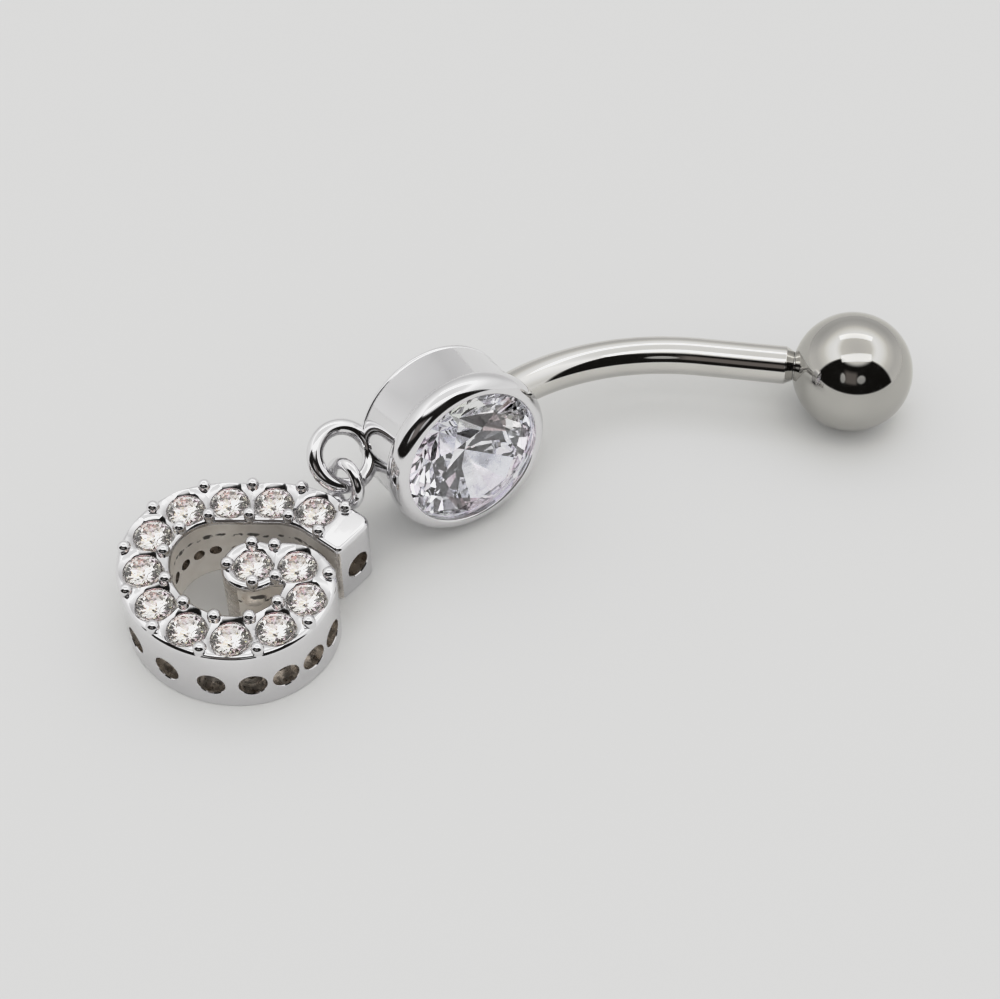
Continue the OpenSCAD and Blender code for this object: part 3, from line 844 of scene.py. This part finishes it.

# A row of painted dark spots, painted shade standing for small pits, runs along the inside under the seats.
# It comes in between the first two heights, in mm, and goes out between the last two.
PIT_HEIGHTS = (1.9, 2.25, 2.3, 2.6)
PIT_SIZE, PIT_SHADE_COLOUR = 2300.0, (0.02, 0.018, 0.016)
cast_tree = glowing_as_cast.node_tree
cast_colour = cast_tree.nodes["Principled BSDF"].inputs["Base Color"]
spot = cast_tree.nodes.new("ShaderNodeTexCoord")
spot_parts = cast_tree.nodes.new("ShaderNodeSeparateXYZ")
wire(cast_tree, spot.outputs["Object"], spot_parts.inputs[0])
pits = cast_tree.nodes.new("ShaderNodeTexNoise")
pits.inputs["Scale"].default_value = PIT_SIZE
pits.inputs["Detail"].default_value = 2.0
wire(cast_tree, spot.outputs["Object"], pits.inputs["Vector"])
row_starts, row_full, row_fades, row_ends = (up * MM for up in PIT_HEIGHTS)
coming = fade(cast_tree, spot_parts.outputs["Z"], row_starts, row_full)
going = fade(cast_tree, spot_parts.outputs["Z"], row_ends, row_fades)
painted_pit_shade = maths(cast_tree, "MULTIPLY", coming, going)
painted_pit_shade = fade(cast_tree, maths(cast_tree, "MULTIPLY", painted_pit_shade, pits.outputs["Fac"]), 0.46, 0.56)
wire(cast_tree, mixed(cast_tree, painted_pit_shade, cast_colour.links[0].from_socket, PIT_SHADE_COLOUR), cast_colour)

# Each face of the band is silver, rough, or darkened with painted shade in the holes, by where its middle
# lies: how far to the side of the band's middle line, how high, and how far from the outer end.
OFF_WALL, OFF_EDGE = 0.03, 0.02
UNDER_SEATS, BESIDE_SEATS = 2.2, 0.9
END_STATIONS, INNER_SIDE = 6, 0.5
coat(scroll, silver, glowing_as_cast, hole_shade_metal)
centres = np.array([face.center for face in scroll.data.polygons]) / MM
line = np.array([along_path(s)[0] for s in stations])
lefts = np.array([left_of(along_path(s)[1]) for s in stations])
nearest = ((centres[:, None, :2] - line[None]) ** 2).sum(2).argmin(1)
offset = ((centres[:, :2] - line[nearest]) * lefts[nearest]).sum(1)
from_end = (centres[:, :2] - begin) @ heading(begin_turn)
above = centres[:, 2]
in_hole = offset ** 2 + (above - HOLE_HEIGHT) ** 2 < (HOLE_R + OFF_WALL) ** 2
deep = (np.abs(offset) < half - OFF_EDGE) & (np.abs(above - HOLE_HEIGHT) < HOLE_R + OFF_EDGE)
rough = (offset > OFF_WALL - half) & (above < BAND_T - TOP_ROUND - OFF_EDGE)
rough &= (above < UNDER_SEATS) | (np.abs(offset) > BESIDE_SEATS)
near_end = nearest < END_STATIONS
off_end = from_end > OFF_WALL
past_corner = from_end > CORNER_OUT + 0.05
deep &= off_end | ~near_end
rough &= ~near_end | (off_end & (past_corner | in_hole | (offset > INNER_SIDE)))
scroll.data.polygons.foreach_set("material_index", rough.astype("int32") + (rough & deep))
baked(scroll)
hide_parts("scroll")
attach(scroll, "jewel")

# The scroll's ring.
# A closed ring of 0.52 mm wire, soldered to the outer side of the band near its outer end. It passes through
# the cup's ring, so that the scroll hangs from the cup.
LINK_AT = np.array([-7.675, -0.515, 3.38])
LINK_FIRST = np.array([-0.642788, 0.766045, 0])
LINK_SECOND = np.array([0.262003, 0.219846, 0.939693])
LINK_R, LINK_WIRE_R = 0.88, 0.26
link = wire_ring("scroll_ring", LINK_AT, LINK_FIRST, LINK_SECOND, LINK_R, LINK_WIRE_R)
BLOB_AT, BLOB_R = np.array([-8.03, -0.86, 2.75]), 0.38
blob_profile = [(0, -BLOB_R)] + rounded(0, 0, BLOB_R, -80, 80, 16) + [(0, BLOB_R)]
joined(link, turned("solder_blob", blob_profile, BLOB_AT, (0, 0, 1), (1, 0, 0), 40))
coat(link, silver)
baked(link)
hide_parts("scroll")
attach(link, "jewel")

# The small stones.
# Thirteen round clear stones of 1.44 mm, one in each seat of the band, with the same cut as the large one.
# Their meshes are the CAD's own.
# The small stones get a large share of painted coloured fire.
small_clear = clear_stone("small_clear_stone", (0.98, 0.96, 0.93), 0.8, 1.85)
for k in range(1, STONES + 1):
    coat(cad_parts[f"small_stone_{k:02d}"], small_clear)
